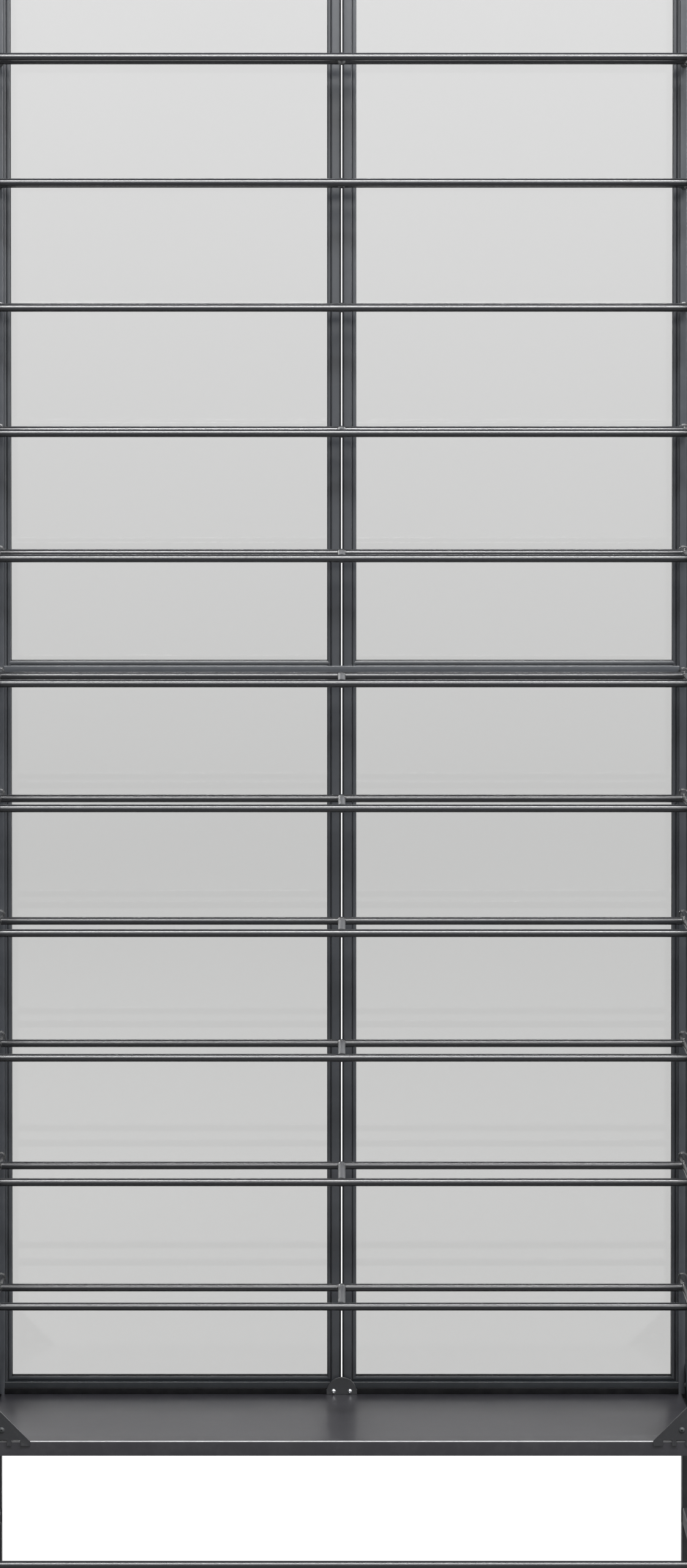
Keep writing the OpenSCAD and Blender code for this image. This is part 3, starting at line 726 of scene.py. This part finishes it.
end_welds = Shape()
RAILS = [(lo(node), hi(node), axis) for node, axis in TUBES.items() if axis != 2]
RAILS += [(np.array([POST_IN, *base_low[1:]]), base_high, 1),
          (base_low, np.array([-POST_IN, *base_high[1:]]), 1)]
for a, b, axis in RAILS:
    u, v = [k for k in range(3) if k != axis]
    axes = np.eye(3)
    loop = spaced(box_outline((a[u], a[v]), (b[u], b[v]), CORNER_R), RAIL_WELD_STEP)
    for end in (a[axis], b[axis]):
        end_welds.grid(bead(lifted(loop, axes[u], axes[v], end * axes[axis]), RAIL_WELD_R,
                            RAIL_WELD_SIDES))
for side in (LEFT, RIGHT):
    at = mid("base_bar") * (0, 1, 1) + side * hi("base_bar")[0] * X
    end_welds.grid(bead(ring_round(at, BAR_R, Y, Z, 24), RAIL_WELD_R, RAIL_WELD_SIDES))
end_welds.piece("rail_welds", "guard", "weld", slot="frame_paint")


# ---------------------------------------------------------------- strip frame

STRIP_EDGE_R = 0.8 * MM


def strip(node, axis):
    """A flat bar with rolled edges, carried along one axis."""
    a, b = lo(node), hi(node)
    u, v = [k for k in range(3) if k != axis]
    axes = np.eye(3)
    section = lifted(box_outline((a[u], a[v]), (b[u], b[v]), STRIP_EDGE_R, 4), axes[u], axes[v])
    return Shape().grid(run(section, axes[axis], a[axis], b[axis]), caps=(True, True))


for node, axis in (("jamb_left", 2), ("jamb_right", 2), ("frame_sill", 0), ("frame_transom", 0),
                   ("frame_head", 0)):
    # The sill strip takes the darker paint, as painted shade.
    finish = "shaded_sill_paint" if node == "frame_sill" else "strip_paint"
    strip(node, axis).piece(f"{node}_strip", "guard", finish, [node], slot="strip_paint")


# ---------------------------------------------------------------- leaves

RAIL_W = 16.5 * MM
# From the leaf's front face backwards, and the groove's depth, in millimetres
LEAF_DEPTH, GLASS_FRONT, GLASS_BACK, GLASS_GROOVE = 19, 9, 13, 6
BEAD_TO, FACE_FROM = 4.6 * MM, 5.0 * MM
OUTER_RADII, MITRED = (1.0, 0.8), (0, 0)
SEAL_SHORT = 0.5 * MM


def leaf_section(width, outer_radii=OUTER_RADII):
    """The leaf's section from the glass side outwards and from the front backwards: a sloping
    bead beside the glass, a shadow groove, the flat face, the back and the glass groove."""
    outer = width / MM
    corners = [(0, GLASS_FRONT), (0, 4.2), (3.9, 3.6), (4.3, 5.4), (5.0, 5.4), (5.3, 0), (outer, 0),
               (outer, LEAF_DEPTH), (0, LEAF_DEPTH), (0, GLASS_BACK), (GLASS_GROOVE, GLASS_BACK),
               (GLASS_GROOVE, GLASS_FRONT)]
    radii = [0.2, 1.1, 0.5, 0.2, 0.2, 1.0, *outer_radii, 0.4, 0.2, 0, 0]
    return rounded(corners, radii, 4) * MM


def pane_seal(x0, x1, z0, z1, y, out):
    """A rubber lip round a pane: a small round-backed section at each of the four corners,
    moved inwards along both sides, so that the corners are mitred."""
    section = rounded([(-2, 0), (0.35, 0), (0.1, 0.9), (-2, 1.1)], [0, 0.1, 0.3, 0.2], 3) * MM
    corner = np.array([(x0, z0, 1, 1), (x1, z0, -1, 1), (x1, z1, -1, -1), (x0, z1, 1, -1)])
    points = np.stack([corner[:, :1] + corner[:, 2:3] * section[:, 0],
                       np.broadcast_to(y + out * section[:, 1], (4, len(section))),
                       corner[:, 1:2] + corner[:, 3:] * section[:, 0]], -1)
    return np.concatenate([points, points[:1]])


FIN = rounded([(-0.5, 1.2), (0, 0.15), (1.9, -0.1), (1.9, 1.5), (0.4, 3), (0.4, 16), (-0.5, 16)],
              [0.4, 0.5, 0.3, 0, 0, 0, 0.4], 3) * MM

for side, word in ((LEFT, "left"), (RIGHT, "right")):
    body = f"{word}_leaf"
    name = {part: f"{word}_{part}" for part in
            ("hinge_stile", "meeting_stile", "top_rail", "bottom_rail", "mid_rail", "glass_panes")}
    inner = abs(np.array([lo(name["meeting_stile"])[0], hi(name["meeting_stile"])[0]]))
    outer = abs(np.array([lo(name["hinge_stile"])[0], hi(name["hinge_stile"])[0]]))
    glass_in, glass_out = inner.max(), outer.min()
    hinge_w = outer.max() - glass_out
    bottom, top = lo(name["bottom_rail"])[2], hi(name["top_rail"])[2]
    front = lo(name["meeting_stile"])[1]
    flip = np.array([side, 1, 1])

    for part, edge, way, width in (("meeting_stile", glass_in, -1, RAIL_W),
                                   ("hinge_stile", glass_out, 1, hinge_w)):
        flat = leaf_section(width)
        section = lifted(flat, way * X, Y, (edge, front, 0))
        skin = run(section, Z, bottom + RAIL_W - flat[:, 0], top - RAIL_W + flat[:, 0])
        Shape().grid(skin * flip, caps=(True, True)).piece(
            f"{word}_{part}_section", body, "leaf_paint", [name[part]])
    for part, level, way in (("bottom_rail", bottom + RAIL_W, -1), ("top_rail", top - RAIL_W, 1)):
        flat = leaf_section(RAIL_W)
        section = lifted(flat, way * Z, Y, (0, front, level))
        skin = run(section, X, glass_in - flat[:, 0], glass_out + np.minimum(flat[:, 0], hinge_w))
        # The bottom rails take the darker copy of the leaf paint, as painted shade.
        finish = "shaded_low_rail_paint" if part == "bottom_rail" else "leaf_paint"
        Shape().grid(skin * flip, caps=(True, True)).piece(
            f"{word}_{part}_section", body, finish, [name[part]], slot="leaf_paint")

    half = RAIL_W / 2
    level = mid(name["mid_rail"])[2]
    rail = Shape()
    flat = leaf_section(half, MITRED)
    reach = np.where(flat[:, 0] < FACE_FROM, np.minimum(flat[:, 0], BEAD_TO), 0)
    for way in (-1, 1):
        section = lifted(flat, -way * Z, Y, (0, front, level + way * half))
        rail.grid(run(section, X, glass_in - reach, glass_out + reach) * flip, caps=(True, True))
    rail.piece(f"{word}_mid_rail_section", body, "leaf_paint", [name["mid_rail"]])

    seals = Shape()
    faces = ((front + GLASS_FRONT * MM, -1), (front + GLASS_BACK * MM, 1))
    for z0, z1 in ((bottom + RAIL_W, level - half), (level + half, top - RAIL_W)):
        for y, out in faces:
            seals.grid(pane_seal(glass_in, glass_out, z0, z1, y, out) * flip)
    seals.piece(f"{word}_glazing_seals", body, "seal", slot="black_plastic")

    edge = lifted(FIN, X, Y, (inner.min(), front, 0))
    skin = run(edge, Z, bottom + SEAL_SHORT, top - SEAL_SHORT)
    Shape().grid(skin * flip, caps=(True, True)).piece(
        f"{word}_meeting_seal", body, "seal", slot="black_plastic")


# ---------------------------------------------------------------- sill tray

# Sizes of the folded sheet, in millimetres
UPSTAND_H = 6
SHEET = 1.5
POST_W = 25
SIDE_FLANGE = 12
OUTER_BEND, INNER_BEND = 2.3, 0.8
TRAY_Z = hi("sill_tray")[2] - UPSTAND_H * MM
POST_FRONT, POST_BACK = lo("front_post_right")[1], hi("front_post_right")[1]
REAR_FRONT, REAR_BACK = lo("rear_post_right")[1], hi("rear_post_right")[1]
tray_x, flange_x = hi("sill_tray")[0] / MM, lo("front_post_right")[0] / MM
clear_x = lo("jamb_right")[0]

flange_z = (lo("sill_tray")[2] - TRAY_Z) / MM
front_edge = rounded([(0, flange_z), (0, 0), (POST_W, 0), (POST_W, -SHEET), (SHEET, -SHEET),
                      (SHEET, flange_z)], [0.3, OUTER_BEND, 0, 0, INNER_BEND, 0.3], 8) * MM
sides = rounded([(-tray_x, -SIDE_FLANGE), (-tray_x, 0), (tray_x, 0), (tray_x, -SIDE_FLANGE),
                 (tray_x - SHEET, -SIDE_FLANGE), (tray_x - SHEET, -SHEET),
                 (SHEET - tray_x, -SHEET), (SHEET - tray_x, -SIDE_FLANGE)],
                [0.3, OUTER_BEND, OUTER_BEND, 0.3, 0.3, INNER_BEND, INNER_BEND, 0.3], 6) * MM
rear_edge = np.array([(-tray_x, -SHEET), (tray_x, -SHEET), (tray_x, 0), (-tray_x, 0)]) * MM
upstand = rounded([(0, 0), (0, UPSTAND_H), (SHEET, UPSTAND_H), (SHEET, 0)],
                  [0, 0.6, 0.6, 0], 3) * MM
tray = Shape()
for flat, u, origin, along, start, end in (
        (front_edge, Y, (0, POST_FRONT, TRAY_Z), X, -flange_x * MM, flange_x * MM),
        (sides, X, (0, 0, TRAY_Z), Y, POST_BACK, REAR_FRONT),
        (rear_edge, X, (0, 0, TRAY_Z), Y, REAR_FRONT, REAR_BACK),
        (upstand, Y, (0, lo("frame_sill")[1], TRAY_Z), X, -clear_x, clear_x)):
    tray.grid(run(lifted(flat, u, Z, origin), along, start, end), caps=(True, True))
tray.piece("sill_tray_sheet", "guard", "tray_paint", ["sill_tray"])

# Painted shadow: a black rubber strip in front of the sill strip, either side of the keeper, puts a
# dark band where shade falls under the leaves' bottom rails.
shadow_strip_section = rounded([(-0.9, 0.2), (0, 0.2), (0, 8.2), (-0.9, 7.4)], [0.2, 0, 0.1, 0.4], 3) * MM
KEEPER_CLEAR = 19.2 * MM
shadow_strips = Shape()
for ends in ((-clear_x, -KEEPER_CLEAR), (KEEPER_CLEAR, clear_x)):
    shadow_strips.grid(run(lifted(shadow_strip_section, Y, Z, (0, lo("frame_sill")[1], TRAY_Z)), X, *ends),
                   caps=(True, True))
shadow_strips.piece("sill_painted_shadow", "guard", "seal", slot="black_plastic")


# ---------------------------------------------------------------- gussets and keeper

BEVEL_FROM = math.radians(40)


def plate(outline, u, v, origin, thickness):
    """A flat plate: an outline in the plane of u and v, given thickness along u x v."""
    section = lifted(outline, u, v, origin)
    return Shape().grid(run(section, np.cross(u, v), 0, thickness), caps=(True, True))


def bevelled(obj, width):
    """The same piece with its sharp edges cut back by width."""
    soft = obj.modifiers.new("soft_edges", "BEVEL")
    soft.width, soft.segments, soft.limit_method = width, 2, "ANGLE"
    soft.angle_limit = BEVEL_FROM
    return obj


# The gusset's outline from the tray's corner, in millimetres
GUSSET_LEG, GUSSET_LAP, GUSSET_TAB, NOTCH_TOP = 47, 18, 6, 1.3
GUSSET_T = 2 * MM
GUSSET = [(-GUSSET_LEG, 0), (0, GUSSET_LEG), (GUSSET_LAP, GUSSET_LEG), (GUSSET_LAP, -GUSSET_TAB)]
GUSSET_R = [1.2, 2, 2, 1.5]
for near, far in ((-9, -19.1), (-24.9, -35.2)):
    GUSSET += [(near, -GUSSET_TAB), (near, NOTCH_TOP), (far, NOTCH_TOP), (far, -GUSSET_TAB)]
    GUSSET_R += [0.5] * 4
GUSSET.append((-GUSSET_LEG, -GUSSET_TAB))
GUSSET_R.append(0.8)

for side, word in ((LEFT, "left"), (RIGHT, "right")):
    node = f"gusset_{word}"
    corner_x = abs(lo(node)[0] if side > 0 else hi(node)[0]) + GUSSET_LEG * MM
    shape = plate(rounded(GUSSET, GUSSET_R, 3) * MM * (side, 1), X, Z,
                  (side * corner_x, hi(node)[1], TRAY_Z), GUSSET_T)
    bevelled(shape.piece(f"{node}_plate", "guard", "frame_paint", [node]), 0.35 * MM)

KEEPER_R, KEEPER_H, KEEPER_T = 18.8, 21.4, 2.5 * MM
turn = np.linspace(0, np.pi, 41)
dome = np.stack([KEEPER_R * np.cos(turn), KEEPER_H - KEEPER_R + KEEPER_R * np.sin(turn)], 1)
dome = np.concatenate([dome, [(-KEEPER_R, 0), (KEEPER_R, 0)]]) * MM
keeper = plate(dome, X, Z, (0, hi("keeper_plate")[1], TRAY_Z), KEEPER_T)
bevelled(keeper.piece("keeper_plate_face", "guard", "frame_paint", ["keeper_plate"]), 0.4 * MM)


# ---------------------------------------------------------------- bolts, nuts and screws

def button_head(radius, height, shank_r, length, key):
    """Radius, height and socket flag down a domed head with a hexagon socket, then its shank.

    The dome is part of a ball: height over the seat = sqrt(ball^2 - r^2) - (ball - height).
    """
    ball = (radius ** 2 + height ** 2) / (2 * height)
    r = np.linspace(key * 1.2, radius, 7)
    cap = np.sqrt(ball ** 2 - r ** 2) - (ball - height)
    top = math.sqrt(ball ** 2 - (key * 1.15) ** 2) - (ball - height)
    return ([(0, height * 0.35, 0), (key * 0.96, height * 0.35, 1), (key, top, 1)]
            + [(a, b, 0) for a, b in zip(r, cap)]
            + [(radius, 0, 0), (shank_r, 0, 0), (shank_r, -length, 0), (0, -length, 0)])


BOLT_SEGMENTS, SCREW_SEGMENTS = 36, 24
BOLT_IN = 13 * MM
NUT_BEHIND = 7.2 * MM
TO_METRES = (MM, MM, 1)
FRONT_BOLT = np.array([hi("gusset_right")[0] - GUSSET_LAP * MM - BOLT_IN,
                       lo("gusset_right")[1], TRAY_Z + BOLT_IN])
REAR_BOLT = np.array([-lo("rear_gussets")[0] - GUSSET_T,
                      hi("rear_gussets")[1] - BOLT_IN, TRAY_Z + BOLT_IN])
bolts = Shape()
nuts = Shape()
head = np.array(button_head(radius=3.8, height=2.3, shank_r=2.0, length=8.2, key=1.25)) * TO_METRES
nut = np.array([(2.05, 0, 0), (3.1, 0, 0), (3.46, 0.4, 1), (3.46, 2.8, 1), (3.1, 3.2, 0),
                (2.05, 3.2, 0), (2.05, 0, 0)]) * TO_METRES
for side in (LEFT, RIGHT):
    flip = np.array([side, 1, 1])
    for at, axis in ((FRONT_BOLT, -Y), (REAR_BOLT, -X)):
        bolts.grid(revolve(head, at, axis, BOLT_SEGMENTS) * flip)
        nuts.grid(revolve(nut, at - axis * NUT_BEHIND, axis, BOLT_SEGMENTS) * flip)
bolts.piece("gusset_bolt_set", "guard", "bolt_paint", ["gusset_bolts"], slot="frame_paint")
nuts.piece("gusset_nut_set", "guard", "zinc", ["gusset_nuts"])

KEEPER_SCREW_X, KEEPER_SCREW_RISE = 10 * MM, 4 * MM
screws = Shape()
head = np.array(button_head(radius=3.0, height=2.0, shank_r=1.5, length=6.0, key=1.0)) * TO_METRES
for side in (LEFT, RIGHT):
    at = (side * KEEPER_SCREW_X, lo("keeper_plate")[1], TRAY_Z + KEEPER_SCREW_RISE)
    screws.grid(revolve(head, at, -Y, BOLT_SEGMENTS))
screws.piece("keeper_screw_set", "guard", "zinc", ["keeper_screws"])

LEAF_TO_PIN = 0.5 * MM
HINGE_INSET = 90 * MM
FLAP_T = 1.5 * MM
POST_SCREW, LEAF_SCREW = 10.9 * MM, 8.45 * MM
SCREW_RISES = (-22 * MM, 0, 22 * MM)
HINGE_X = hi("right_hinge_stile")[0] + LEAF_TO_PIN
HINGE_ZS = (lo("right_bottom_rail")[2] + HINGE_INSET, mid("right_mid_rail")[2],
            hi("right_top_rail")[2] - HINGE_INSET)
FLAP_FACE = REAR_BACK + FLAP_T
head = np.array([(0, -0.7, 0), (0.95, -0.7, 1), (1.0, 0.28, 1), (1.3, 0.3, 0), (1.9, 0.2, 0),
                 (2.3, 0, 0), (1.2, -1.2, 0), (1.2, -5, 0), (0, -5, 0)]) * TO_METRES
post_screws = Shape()
for side, word in ((LEFT, "left"), (RIGHT, "right")):
    leaf_screws = Shape()
    for level in HINGE_ZS:
        for rise in SCREW_RISES:
            at = np.array([side * (HINGE_X + POST_SCREW), FLAP_FACE, level + rise])
            post_screws.grid(revolve(head, at, Y, SCREW_SEGMENTS))
            at[0] = side * (HINGE_X - LEAF_SCREW)
            leaf_screws.grid(revolve(head, at, Y, SCREW_SEGMENTS))
    leaf_screws.piece(f"{word}_hinge_screws", f"{word}_leaf", "zinc", slot="zinc")
post_screws.piece("post_hinge_screws", "guard", "zinc", slot="zinc")


# ---------------------------------------------------------------- floor and light

def area_light(name, place, target, size, power):
    """A soft rectangular light at a place, facing a target; size in metres, power in watts."""
    lamp = bpy.data.lights.new(name, "AREA")
    lamp.shape = "RECTANGLE"
    lamp.size, lamp.size_y = size
    lamp.energy = power
    obj = bpy.data.objects.new(name, lamp)
    bpy.context.scene.collection.objects.link(obj)
    obj.location = place
    aim = np.array(target, float) - np.array(place, float)
    obj.rotation_euler = Vector(aim).to_track_quat("-Z", "Y").to_euler()


area_light("soft_back", (-2.6, 4.2, 3.4), (0, 0, 1.1), (2.0, 2.0), 220)
area_light("high_front", (0, -6.5, 3.4), (0, 0, 1.6), (4.0, 0.8), 190)
area_light("soft_right", (3.2, -1.8, 2.6), (0, 0, 1.3), (0.9, 2.2), 170)
area_light("soft_top", (0.3, -1.9, 3.9), (0, 0, 1.2), (3.2, 0.5), 320)

world = bpy.data.worlds.new("studio")
bpy.context.scene.world = world
world.use_nodes = True
tree = world.node_tree
sky = tree.nodes["Background"]
tree.links.new(mix_colour(tree, seen_directly(tree), (0.20, 0.207, 0.22), (1.0, 1.0, 1.0)),
               sky.inputs["Color"])
sky.inputs["Strength"].default_value = 1.0
bpy.context.scene.view_settings.view_transform = "Standard"

FLOOR_HALF = 9
floor = bpy.data.meshes.new("floor")
floor.from_pydata([(x * FLOOR_HALF, y * FLOOR_HALF, 0) for x, y in
                   ((-1, -1), (1, -1), (1, 1), (-1, 1))], [], [(0, 1, 2, 3)])
floor.materials.append(pale_floor())
floor_obj = bpy.data.objects.new("floor", floor)
bpy.context.scene.collection.objects.link(floor_obj)
